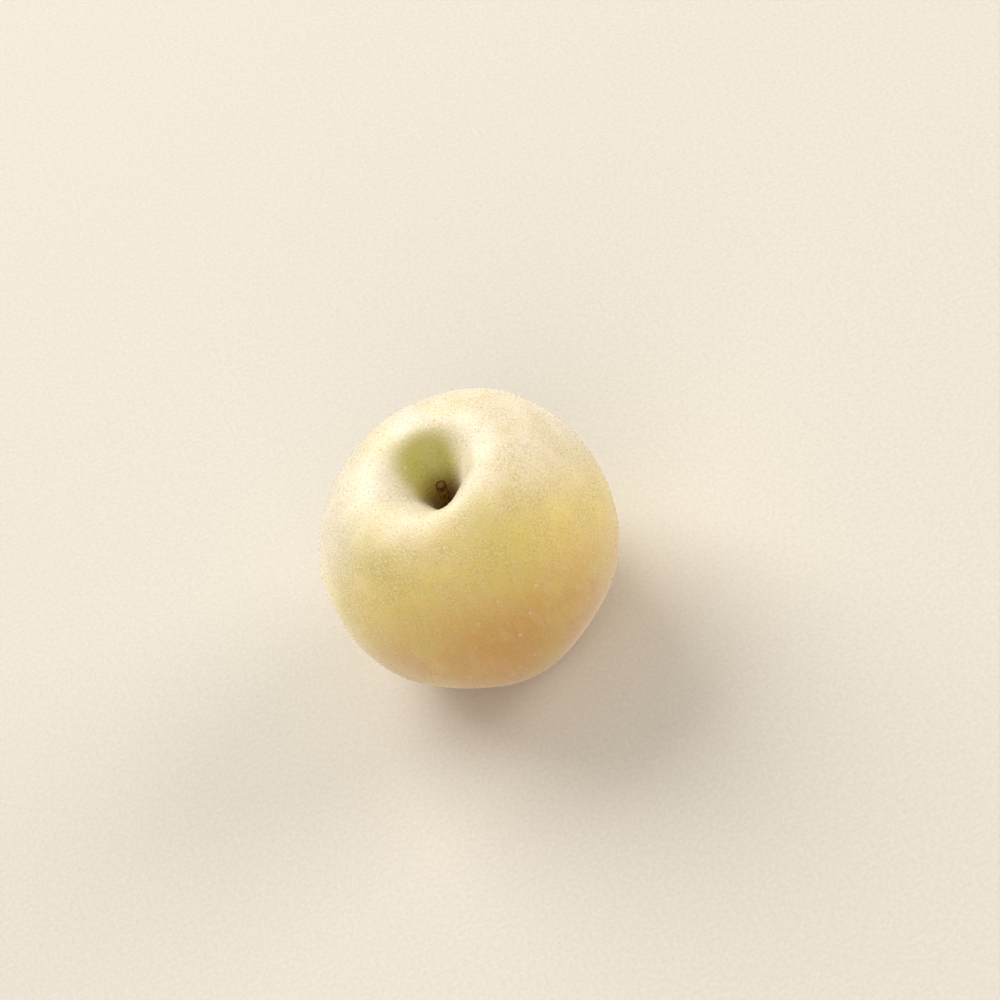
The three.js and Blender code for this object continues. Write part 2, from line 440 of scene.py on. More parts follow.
@dataclass(frozen=True)
class AppleSkin:
    """Waxy skin of a ripe golden apple: thin, satin, faintly translucent, with a mist of dew on it.

    A coat's fade is in millimetres along a length, in radii on a pore, and in the pattern's own
    value on a pattern.
    """

    # the pale ground, left mostly on the top shoulder, where its whiteness is partly painted light
    cream: str = "#f0e5cd"
    gold: str = "#ebd063"
    olive: str = "#cfc455"
    cavity_green: str = "#b4ad38"
    straw: str = "#f7eed0"
    clouds: Coat = Coat(gold, (0.36, 0.68), 0.25)  # soft patches where the cream ripens first
    # gold along the ripe side: partly ripening, partly painted shade towards the lower near side
    gold_and_painted_shade: Coat = Coat(gold, (-46.0, -18.0), 0.88)
    # deeper gold low on the back: partly its own colour, partly painted darker against the strong key lamp
    # there
    back: Coat = Coat(gold, (-27.0, 0.0), 0.85)
    blush_and_painted_shade: Coat = Coat("#bd7f1f", (-24.0, 6.0), 0.8)  # amber, low on the ripe side: partly its ripe colour, partly painted shade with a warm painted reflection
    unripe: Coat = Coat(olive, (0.48, 0.7), 0.3)
    # painted shade: a soft olive patch on the near shoulder, below the crest
    painted_shade_patch: Coat = Coat(olive, (19.0, 4.0), 0.28)
    mottling: Coat = Coat(straw, (0.45, 0.8), 0.12)
    # green of the cavity: its own colour, and partly painted shade on the far wall, where its middle lies
    cavity: Coat = Coat(cavity_green, (12.0, 5.0), 0.92)
    # deeper ochre towards the stalk: partly its own colour, partly painted shade deep in the cavity
    near_stalk: Coat = Coat("#946f0c", (8.5, 2.5), 0.93)
    basin: Coat = Coat(cavity_green, (15.0, 4.0), 0.7)
    russet: Coat = Coat("#946318", (7.8, 4.8), 0.8)
    # dark brown in the pit round the stalk: partly russet, partly painted shade
    hole: Coat = Coat("#8a5f18", (3.9, 2.2), 0.92)
    pore_ring: Coat = Coat(straw, (3.0, 1.4), 0.28)
    pore: Coat = Coat("#6f5228", (1.1, 0.5), 0.85)
    painted_droplet_shade: Coat = Coat("#c6aa60", (0.36, 0.6), 0.42)  # painted shade: darker skin between two droplets of mist, for their shadow side
    # painted highlight: a pale spark in the middle of each of the mist's droplets
    painted_droplet_highlight: Coat = Coat("#fffdf4", (0.34, 0.12), 0.48)
    upper_part: Fade = (0.55, 0.8)  # of the fruit's height
    lower_part: Fade = (0.2, 0.05)
    cavity_off_mm: tuple[float, float] = (-0.5, 7.5)  # from the stalk's foot to the middle of the green, back on the far wall, where the green is partly painted shade
    painted_shade_patch_mm: tuple[float, float, float] = (8.6, -30.7, 61.9)  # below the crest, the middle of an olive patch of painted shade on the near shoulder
    cloud_mm: float = 24.0
    unripe_patch: float = 0.7  # an unripe patch's size against a cloud's
    streak_mm: float = 1.6
    streaks_a_radian: float = 26.0
    streak_pace: float = 0.22  # how fast the mottling changes lengthways, so that it is drawn out
    russet_mm: float = 1.4
    russet_ragged_mm: float = 5.0
    lenticel_mm: float = 5.2  # from one breathing pore to the next
    pore_mm: float = 0.26
    dark_pores: Fade = (0.42, 0.55)
    mist_mm: float = 0.8  # from one mist droplet to the next, drawn coarse enough to show
    mist_height_mm: float = 0.2
    mist_dome: Fade = (0.46, 0.05)
    mist_patch_mm: float = 9.0  # patches where the mist is thicker and thinner
    mist_patches: Fade = (0.3, 0.6)
    mist_in_cavity: Fade = (1.3, 0.0)
    mist_side_mm: Fade = (25.0, -28.0)
    peel_mm: float = 2.2  # the skin's own slight waviness
    peel_height_mm: float = 0.12
    between_roughness: float = 0.58
    droplet_roughness: float = 0.34
    flesh_scatter_mm: tuple[float, float, float] = (3.2, 2.0, 0.8)

    def ripen(self, paint: Paint, ripe_and_shaded: bpy.types.NodeSocket) -> None:
        """Ripen the cream ground to gold and amber, and leave the last green in patches; the gold and amber,
        low on the near side and on the back, are partly painted shade, and the olive patch below the crest is
        painted shade.

        Args:
            paint: The skin's colour.
            ripe_and_shaded: How far the point lies towards the ripe side, which is also painted darker as
                shade.
        """
        scale = per_metre(self.cloud_mm)
        clouds = add_node(
            paint.tree,
            "ShaderNodeTexNoise",
            inputs={"Vector": paint.place, "Scale": scale, "Detail": 3.0, "Roughness": 0.55},
        )
        paint.lay(self.clouds, clouds.outputs["Fac"])
        # gold towards the lower near side: partly ripening, partly painted shade
        paint.lay(self.gold_and_painted_shade, ripe_and_shaded, unit=MM)
        # deeper gold low on the back, partly painted darker against the strong key lamp
        paint.lay(self.back, towards(paint.tree, paint.place, FAR_SIDE), unit=MM)
        # amber low on the near side: partly its ripe colour, partly painted shade with a warm painted
        # reflection
        paint.lay(self.blush_and_painted_shade, ripe_and_shaded, unit=MM)
        scale = per_metre(self.unripe_patch * self.cloud_mm)
        patches = add_node(
            paint.tree,
            "ShaderNodeTexNoise",
            inputs={"Vector": paint.place, "Scale": scale, "Detail": 2.0, "Distortion": 0.4},
        )
        paint.lay(self.unripe, patches.outputs["Fac"])
        # painted shade: a soft olive patch on the near shoulder, below the crest
        painted_shade_patch_at = tuple(side * MM for side in self.painted_shade_patch_mm)
        paint.lay(self.painted_shade_patch, paint.distance_to(painted_shade_patch_at), unit=MM)

    def mottle(self, paint: Paint, from_core: bpy.types.NodeSocket) -> None:
        """Mottle the skin in streaks from stalk to calyx, as the flesh shows through it.

        Args:
            paint: The skin's colour.
            from_core: The point's distance from the core.
        """
        across, depth, up = add_node(paint.tree, "ShaderNodeSeparateXYZ", inputs={0: paint.place}).outputs
        bearing = add_node(paint.tree, "ShaderNodeMath", {"operation": "ARCTAN2"}, {0: depth, 1: across})
        lengthways = self.streak_pace * per_metre(self.streak_mm)
        along = add_node(
            paint.tree,
            "ShaderNodeCombineXYZ",
            inputs={
                0: paint.product(bearing.outputs[0], self.streaks_a_radian),
                1: paint.product(up, lengthways),
                2: paint.product(from_core, lengthways),
            },
        )
        streaks = add_node(
            paint.tree, "ShaderNodeTexNoise", inputs={"Vector": along.outputs[0], "Scale": 1.0, "Detail": 4.0}
        )
        paint.lay(self.mottling, streaks.outputs["Fac"])

    def colour_ends(
        self, paint: Paint, from_core: bpy.types.NodeSocket, stalk_at: Vector, height: float
    ) -> bpy.types.NodeSocket:
        """Green the cavity and the basin, and lay russet and a dark hole round the stalk; the green on the
        cavity's far wall, the deeper ochre towards the stalk and the dark hole are partly painted shade.

        Args:
            paint: The skin's colour.
            from_core: The point's distance from the core.
            stalk_at: The middle of the stalk's foot.
            height: The fruit's height.

        Returns:
            The mask of the cavity's green.
        """
        up = add_node(paint.tree, "ShaderNodeSeparateXYZ", inputs={0: paint.place}).outputs[2]
        high = paint.mask(up, self.upper_part, height)
        low = paint.mask(up, self.lower_part, height)
        left, back = self.cavity_off_mm
        green_at = (stalk_at.x + left * MM, stalk_at.y + back * MM, 0.0)
        # the cavity's green, partly painted shade on its far wall, then deeper ochre and a dark pit towards
        # the stalk, partly painted shade
        in_cavity = paint.lay(self.cavity, paint.distance_to(green_at, upright=0.0), high, unit=MM)
        paint.lay(self.near_stalk, from_core, high, unit=MM)
        paint.lay(self.basin, from_core, low, unit=MM)
        scale = per_metre(self.russet_mm)
        ragged = add_node(
            paint.tree,
            "ShaderNodeTexNoise",
            inputs={"Vector": paint.place, "Scale": scale, "Detail": 5.0, "Roughness": 0.65},
        )
        edge = add_node(
            paint.tree,
            "ShaderNodeMath",
            {"operation": "MULTIPLY_ADD"},
            {0: ragged.outputs["Fac"], 1: self.russet_ragged_mm * MM, 2: from_core},
        )
        paint.lay(self.russet, edge.outputs[0], high, unit=MM)
        paint.lay(self.hole, from_core, high, unit=MM)
        return in_cavity

    def prick(self, paint: Paint) -> None:
        """Prick the skin with lenticels: tiny pores in pale rings, only some of them dark."""
        pores = add_node(
            paint.tree,
            "ShaderNodeTexVoronoi",
            inputs={"Vector": paint.place, "Scale": per_metre(self.lenticel_mm), "Randomness": 1.0},
        )
        reach = pores.outputs["Distance"]
        radius = self.pore_mm / self.lenticel_mm
        paint.lay(self.pore_ring, reach, unit=radius)
        chance = add_node(paint.tree, "ShaderNodeSeparateColor", inputs={0: pores.outputs["Color"]})
        dark_ones = paint.mask(chance.outputs[0], self.dark_pores)
        paint.lay(self.pore, reach, dark_ones, unit=radius)

    def bedew(
        self, paint: Paint, in_cavity: bpy.types.NodeSocket, ripe_and_shaded: bpy.types.NodeSocket
    ) -> bpy.types.NodeSocket:
        """Lay the mist on the skin: a painted highlight on each of the droplets, with painted shade between
        them.

        Args:
            paint: The skin's colour.
            in_cavity: The mask of the cavity's green, where the mist is thin.
            ripe_and_shaded: How far the point lies towards the ripe side, painted darker as shade, where the
                mist is thin too.

        Returns:
            How high the droplets stand, from 0 to 1.
        """
        droplets = add_node(
            paint.tree,
            "ShaderNodeTexVoronoi",
            inputs={"Vector": paint.place, "Scale": per_metre(self.mist_mm), "Randomness": 0.85},
        )
        spacing = droplets.outputs["Distance"]
        drift = add_node(
            paint.tree,
            "ShaderNodeTexNoise",
            inputs={"Vector": paint.place, "Scale": per_metre(self.mist_patch_mm), "Detail": 2.0},
        )
        thick = paint.product(
            paint.mask(drift.outputs["Fac"], self.mist_patches),
            paint.mask(in_cavity, self.mist_in_cavity),
            paint.mask(ripe_and_shaded, self.mist_side_mm, MM),
        )
        # painted shade between the droplets, and a painted highlight in the middle of each
        paint.lay(self.painted_droplet_shade, spacing, thick)
        paint.lay(self.painted_droplet_highlight, spacing, thick)
        return paint.mask(spacing, self.mist_dome)

    def material(self, stalk_at: Vector, height: float) -> bpy.types.Material:
        """Make the skin's material.

        Args:
            stalk_at: The middle of the stalk's foot.
            height: The fruit's height.

        Returns:
            The material.
        """
        material, tree, shader = new_material("apple skin, ripe, waxy, dewy")
        paint = Paint(tree, add_node(tree, "ShaderNodeTexCoord").outputs["Object"], linear(self.cream))
        from_core = paint.distance_to((stalk_at.x, stalk_at.y, 0.0), upright=0.0)
        ripe_and_shaded = towards(tree, paint.place, RIPE_AND_SHADED_SIDE)
        self.ripen(paint, ripe_and_shaded)
        self.mottle(paint, from_core)
        in_cavity = self.colour_ends(paint, from_core, stalk_at, height)
        self.prick(paint)
        domes = self.bedew(paint, in_cavity, ripe_and_shaded)

        # Low domes on a faintly wavy peel break the gloss in fine sparkles.
        waves = add_node(
            tree,
            "ShaderNodeTexNoise",
            inputs={"Vector": paint.place, "Scale": per_metre(self.peel_mm), "Detail": 3.0},
        )
        peel = add_node(
            tree,
            "ShaderNodeBump",
            inputs={"Strength": 0.35, "Distance": self.peel_height_mm * MM, "Height": waves.outputs["Fac"]},
        )
        beads = add_node(
            tree,
            "ShaderNodeBump",
            inputs={
                "Strength": 0.8,
                "Distance": self.mist_height_mm * MM,
                "Height": domes,
                "Normal": peel.outputs[0],
            },
        )
        gloss = add_node(
            tree,
            "ShaderNodeMapRange",
            inputs={"Value": domes, "To Min": self.between_roughness, "To Max": self.droplet_roughness},
        )
        tree.links.new(paint.colour, shader.inputs["Base Color"])
        tree.links.new(gloss.outputs["Result"], shader.inputs["Roughness"])
        tree.links.new(beads.outputs[0], shader.inputs["Normal"])
        shader.inputs["IOR"].default_value = 1.45
        shader.inputs["Coat Weight"].default_value = 0.9  # the natural wax and the wet on it
        shader.inputs["Coat Roughness"].default_value = 0.45
        shader.inputs["Sheen Weight"].default_value = 0.5  # the mist whitens the skin's edges
        shader.inputs["Sheen Roughness"].default_value = 0.5
        shader.inputs["Subsurface Weight"].default_value = 0.15
        shader.inputs["Subsurface Radius"].default_value = [r * MM for r in self.flesh_scatter_mm]
        shader.inputs["Subsurface Scale"].default_value = 1.0
        return material


@dataclass(frozen=True)
class StalkBark:
    """Woody stalk of a picked apple: brown, ridged and dull, with a ringed scar where it broke off."""

    dark: str = "#321c03"
    brown: str = "#705013"
    tan: str = "#94702a"
    cork: Coat = Coat(dark, (3.4, 1.4), 0.8)  # the dark swollen end
    scar: Coat = Coat("#6e4a0e", (1.15, 0.85), 0.75)  # the paler wood in the middle of the end
    ridge_mm: float = 0.45  # between two ridges of the bark
    ridge_pace: float = 0.22  # how fast the ridges change lengthways
    ridge_height_mm: float = 0.12
    fleck_mm: float = 0.8

    def material(self, end: Vector) -> bpy.types.Material:
        """Make the stalk's material.

        Args:
            end: The middle of the stalk's broken end.

        Returns:
            The material.
        """
        material, tree, shader = new_material("apple stalk, woody")
        place = add_node(tree, "ShaderNodeTexCoord").outputs["Object"]
        lengthways = {"Vector": place, "Scale": (1.0, 1.0, self.ridge_pace)}
        drawn = add_node(tree, "ShaderNodeMapping", inputs=lengthways)
        grain = add_node(
            tree,
            "ShaderNodeTexNoise",
            inputs={"Vector": drawn.outputs[0], "Scale": per_metre(self.ridge_mm), "Detail": 5.0},
        )
        bark = ramp_stops(
            add_node(tree, "ShaderNodeValToRGB", inputs={0: grain.outputs["Fac"]}),
            [(0.3, linear(self.dark)), (0.52, linear(self.brown)), (0.72, linear(self.tan))],
        )
        paint = Paint(tree, place, bark.outputs[0])
        away = add_node(tree, "ShaderNodeVectorMath", {"operation": "DISTANCE"}, {0: place, 1: end})
        paint.lay(self.cork, away.outputs["Value"], unit=MM)
        paint.lay(self.scar, away.outputs["Value"], unit=MM)
        flecks = add_node(
            tree,
            "ShaderNodeTexNoise",
            inputs={"Vector": place, "Scale": per_metre(self.fleck_mm), "Detail": 2.0},
        )
        worn = {"Value": flecks.outputs["Fac"], "To Min": 0.65, "To Max": 0.95}
        dull = add_node(tree, "ShaderNodeMapRange", inputs=worn)
        relief = add_node(
            tree,
            "ShaderNodeBump",
            inputs={"Strength": 0.6, "Distance": self.ridge_height_mm * MM, "Height": grain.outputs["Fac"]},
        )
        tree.links.new(paint.colour, shader.inputs["Base Color"])
        tree.links.new(dull.outputs[0], shader.inputs["Roughness"])
        tree.links.new(relief.outputs[0], shader.inputs["Normal"])
        shader.inputs["Specular IOR Level"].default_value = 0.15  # dry bark barely shines
        return material


@dataclass(frozen=True)
class DriedTissue:
    """Withered leaf or thread of the calyx: papery, dull and brittle, mottled dark and light."""

    name: str
    dark: str
    light: str
    mottle_mm: float
    sheen: float
    relief_mm: float = 0.1

    def material(self) -> bpy.types.Material:
        """Make the dried tissue's material and return it."""
        material, tree, shader = new_material(self.name)
        place = add_node(tree, "ShaderNodeTexCoord").outputs["Object"]
        scale = per_metre(self.mottle_mm)
        mottle = add_node(
            tree,
            "ShaderNodeTexNoise",
            inputs={"Vector": place, "Scale": scale, "Detail": 6.0, "Roughness": 0.6},
        ).outputs["Fac"]
        colour = ramp_stops(
            add_node(tree, "ShaderNodeValToRGB", inputs={0: mottle}),
            [(0.32, linear(self.dark)), (0.68, linear(self.light))],
        )
        dull = add_node(tree, "ShaderNodeMapRange", inputs={"Value": mottle, "To Min": 0.95, "To Max": 0.7})
        relief = add_node(
            tree,
            "ShaderNodeBump",
            inputs={"Strength": 0.5, "Distance": self.relief_mm * MM, "Height": mottle},
        )
        tree.links.new(colour.outputs[0], shader.inputs["Base Color"])
        tree.links.new(dull.outputs[0], shader.inputs["Roughness"])
        tree.links.new(relief.outputs[0], shader.inputs["Normal"])
        shader.inputs["Sheen Weight"].default_value = self.sheen
        shader.inputs["Sheen Roughness"].default_value = 0.5
        return material


@dataclass(frozen=True)
class DewWater:
    """Water in small beads: colourless and mirror smooth, so each bead carries one bright spark.

    A bead gathers light on the skin under it, which takes very many samples to render. It is
    drawn instead as a partly see-through bead, a little paler than the skin.
    """

    glow: str = "#f8e6ab"
    ior: float = 1.333
    solid: float = 0.35
    dust_mm: float = 1.5

    def material(self) -> bpy.types.Material:
        """Make the water's material and return it."""
        material, tree, shader = new_material("dew, clear water")
        place = add_node(tree, "ShaderNodeTexCoord").outputs["Object"]
        specks = {"Vector": place, "Scale": per_metre(self.dust_mm), "Detail": 2.0}
        dust = add_node(tree, "ShaderNodeTexNoise", inputs=specks).outputs["Fac"]
        smooth = add_node(tree, "ShaderNodeMapRange", inputs={"Value": dust, "To Min": 0.02, "To Max": 0.12})
        tree.links.new(smooth.outputs[0], shader.inputs["Roughness"])
        shader.inputs["Base Color"].default_value = linear(self.glow)
        shader.inputs["IOR"].default_value = self.ior
        shader.inputs["Coat Weight"].default_value = 1.0
        shader.inputs["Coat Roughness"].default_value = 0.02
        shader.inputs["Alpha"].default_value = self.solid
        return material


@dataclass(frozen=True)
class PalePaper:
    """Matt studio paper under the fruit: off-white with the slightest tooth."""

    white: str = "#e2ddd4"
    shade: str = "#dad4ca"
    tooth_mm: float = 1.2

    def material(self) -> bpy.types.Material:
        """Make the paper's material and return it."""
        material, tree, shader = new_material("studio paper, matt")
        place = add_node(tree, "ShaderNodeTexCoord").outputs["Object"]
        fibres = {"Vector": place, "Scale": per_metre(self.tooth_mm), "Detail": 2.0}
        tooth = add_node(tree, "ShaderNodeTexNoise", inputs=fibres).outputs["Fac"]
        colour = ramp_stops(
            add_node(tree, "ShaderNodeValToRGB", inputs={0: tooth}),
            [(0.3, linear(self.shade)), (0.7, linear(self.white))],
        )
        tree.links.new(colour.outputs[0], shader.inputs["Base Color"])
        shader.inputs["Roughness"].default_value = 0.9
        return material


# The fruit and what grows on it


@dataclass
class Fruit:
    """The fruit itself: the frame's solid, rounded fine and made faintly uneven as grown skin is."""

    finish: AppleSkin = AppleSkin()
    levels: int = 2
    wave_mm: float = 11.0  # from one soft swelling of the skin to the next
    wave_height_mm: float = 0.16
    flat_mm: float = 0.5  # below this the skin stays as the frame has it, flat where it stands
    foot_mm: float = 4.0  # and from this height up it has all its unevenness

    def build(self, stalk_at: Vector) -> bpy.types.Object:
        """Build the fruit.

        Args:
            stalk_at: The middle of the stalk's foot.

        Returns:
            The fruit.
        """
        fruit = merged_copy("fruit", "apple_fruit")
        subdivide_smooth(fruit, self.levels)
        fruit.data.update()
        normals = [vertex.normal.copy() for vertex in fruit.data.vertices]
        for vertex, normal in zip(fruit.data.vertices, normals):
            swell = noise.noise(vertex.co / (self.wave_mm * MM))
            clear = smooth_step(vertex.co.z, self.flat_mm * MM, self.foot_mm * MM)
            vertex.co += normal * (swell * clear * self.wave_height_mm * MM)
            vertex.co.z = max(vertex.co.z, 0.0)
        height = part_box("fruit")[1].z
        finish_piece(fruit, self.finish.material(stalk_at, height))
        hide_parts("fruit")
        return fruit


@dataclass
class Stalk:
    """The stalk: the frame's rod with bark ridges and the ringed scar of its end."""

    finish: StalkBark = StalkBark()
    levels: int = 3
    ridges: int = 9
    ridge_depth_mm: float = 0.07
    ridge_sway: float = 1.5  # how far the ridges wander round the stalk, in radians of their wave
    ridge_share: float = 0.6
    rough_share: float = 1.4
    end_mm: float = 0.2  # how far below the top the points of the end lie
    scar_zone_mm: float = 0.5
    scar_rim_mm: float = 0.45
    scar_depth_mm: float = 0.4
    scar_step_mm: float = 0.25
    scar_rise_mm: float = 0.22

    def build(self) -> bpy.types.Object:
        """Build the stalk and return it."""
        stalk = merged_copy("stalk", "apple_stalk")
        low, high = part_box("stalk")
        top = high.z
        at_end = [vertex.co for vertex in stalk.data.vertices if vertex.co.z > top - self.end_mm * MM]
        end = sum(at_end, Vector()) / len(at_end)
        scar_from = top - self.scar_zone_mm * MM
        select_faces(stalk, lambda face: face.center.z > scar_from and face.normal.z > FACING)
        bpy.ops.mesh.inset(thickness=self.scar_rim_mm * MM)
        bpy.ops.transform.translate(value=(0, 0, -self.scar_depth_mm * MM))
        bpy.ops.mesh.inset(thickness=self.scar_step_mm * MM)
        bpy.ops.transform.translate(value=(0, 0, self.scar_rise_mm * MM))
        bpy.ops.object.mode_set(mode="OBJECT")
        subdivide_smooth(stalk, self.levels)
        middle = (low + high) / 2
        length = high.z - low.z

        def bark(point: Vector) -> Vector:
            """Raise the ridges of the bark on one point."""
            bearing = math.atan2(point.y - middle.y, point.x - middle.x)
            up = (point.z - low.z) / length
            rough = noise.noise(Vector((3 * math.cos(bearing), 3 * math.sin(bearing), 5 * up)))
            ridge = math.cos(self.ridges * bearing + self.ridge_sway * math.sin(4 * up))
            depth = self.ridge_depth_mm * MM * (self.ridge_share * ridge + self.rough_share * rough)
            point.x += depth * math.cos(bearing)
            point.y += depth * math.sin(bearing)
            return point

        shape(stalk, bark)
        finish_piece(stalk, self.finish.material(end))
        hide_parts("stalk")
        return stalk


@dataclass
class Calyx:
    """The calyx: the woolly button that closes the core and the five dried sepals round it."""

    finish: DriedTissue = DriedTissue("dried sepals, woolly", "#4a3d22", "#a39a70", 0.7, 0.6)
    count: int = 5
    length_mm: float = 7.3
    width_mm: float = 3.4
    thickness_mm: float = 0.34
    foot_mm: float = 2.5
    button_mm: float = 3.45
    button_bottom_mm: float = 9.0
    button_top_mm: float = 11.2
    wrinkle_mm: float = 0.16
    rib_mm: float = 0.12
    rib_width: float = 0.16  # against half the sepal's width
    flutter_mm: float = 0.25  # how far its edge wanders
    root_above_mm: float = 0.9  # from the button's underside up to the sepals' roots
    roll_mm: float = 0.7  # the button's rolled edge, and inside it the step down to its hollow
    hollow_step_mm: float = 0.8
    hollow_mm: float = 0.25
    middle_step_mm: float = 0.9
    tuft: float = 0.12

    def sepal(self, index: int, centre: Vector) -> bpy.types.Object:
        """Model one sepal, cupped, pointed, wrinkled and curled out at its tip.

        Args:
            index: Which of the sepals it is, counted round the button.
            centre: The middle of the calyx.

        Returns:
            The sepal.
        """
        curl = 0.85 + 0.3 * math.sin(2.4 * index + 0.5)
        length = self.length_mm * (0.94 + 0.08 * math.cos(1.7 * index))
        bpy.ops.mesh.primitive_grid_add(x_subdivisions=18, y_subdivisions=9, size=2.0)
        sepal = bpy.context.object

        def leaf(point: Vector) -> Vector:
            """Place one point of the flat grid on the sepal, by its share along and across."""
            along, side = (point.x + 1) / 2, point.y
            half = 0.5 * self.width_mm * (0.62 + 0.5 * math.sin(math.pi * min(along * 1.25, 1)))
            taper = 1 if along < 0.25 else 1 - 0.9 * ((along - 0.25) / 0.75) ** 1.4
            across = side * half * taper
            wrinkle = self.wrinkle_mm * noise.noise(Vector((5 * along, 2.4 * side, 3.7 * index)))
            rib = -self.rib_mm * math.exp(-((side / self.rib_width) ** 2)) * (1 - along)
            swing = curl * (0.25 + 1.05 * along)
            lift = wrinkle + rib + 0.1 * across * across * (1 - along)
            reach = length * (0.16 * along + 0.42 * curl * along * along)
            drop = length * (0.8 * along - 0.24 * curl * along * along)
            return Vector(
                (
                    self.foot_mm + reach - lift * math.cos(swing),
                    across + self.flutter_mm * noise.noise(Vector((3 * along, 9.1, index))),
                    self.button_bottom_mm + self.root_above_mm - drop - lift * math.sin(swing),
                )
            )

        shape(sepal, leaf)
        apply_modifier(sepal, "SOLIDIFY", thickness=self.thickness_mm, offset=0.0)
        outward(sepal)
        subdivide_smooth(sepal, 2)
        turn = index / self.count * math.tau + 0.12 * math.sin(5 * index)
        placed = Matrix.Translation(centre) @ Matrix.Rotation(turn, 4, "Z") @ Matrix.Scale(MM, 4)
        sepal.data.transform(placed)
        return sepal

    def button(self, centre: Vector) -> bpy.types.Object:
        """Model the button: a low round pad with a rolled edge and a hollow middle.

        Args:
            centre: The middle of the calyx.

        Returns:
            The button.
        """
        height = self.button_top_mm - self.button_bottom_mm
        bpy.ops.mesh.primitive_cylinder_add(
            vertices=20,
            radius=self.button_mm,
            depth=height,
            location=(0, 0, self.button_bottom_mm + height / 2),
        )
        button = bpy.context.object
        settle(button)
        select_faces(button, lambda face: face.normal.z < -FACING)
        bpy.ops.mesh.inset(thickness=self.roll_mm)
        bpy.ops.mesh.inset(thickness=self.hollow_step_mm)
        bpy.ops.transform.translate(value=(0, 0, self.hollow_mm))
        bpy.ops.mesh.inset(thickness=self.middle_step_mm)
        bpy.ops.mesh.poke()
        bpy.ops.object.mode_set(mode="OBJECT")
        subdivide_smooth(button, 3)

        def felt(point: Vector) -> Vector:
            """Raise the wool of the button on one point."""
            tuft = noise.noise(point * 1.7) * self.tuft
            wider = 1 + 0.4 * tuft
            return Vector((point.x * wider, point.y * wider, point.z + max(tuft, 0) * 0.5))

        shape(button, felt)
        button.data.transform(Matrix.Translation(centre) @ Matrix.Scale(MM, 4))
        return button

    def build(self, centre: Vector) -> bpy.types.Object:
        """Build the calyx.

        Args:
            centre: The middle of the calyx, at the height of the table.

        Returns:
            The calyx.
        """
        sepals = [self.sepal(index, centre) for index in range(self.count)]
        calyx = join([self.button(centre), *sepals], "apple_calyx_sepals")
        finish_piece(calyx, self.finish.material())
        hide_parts("calyx_sepals")
        return calyx


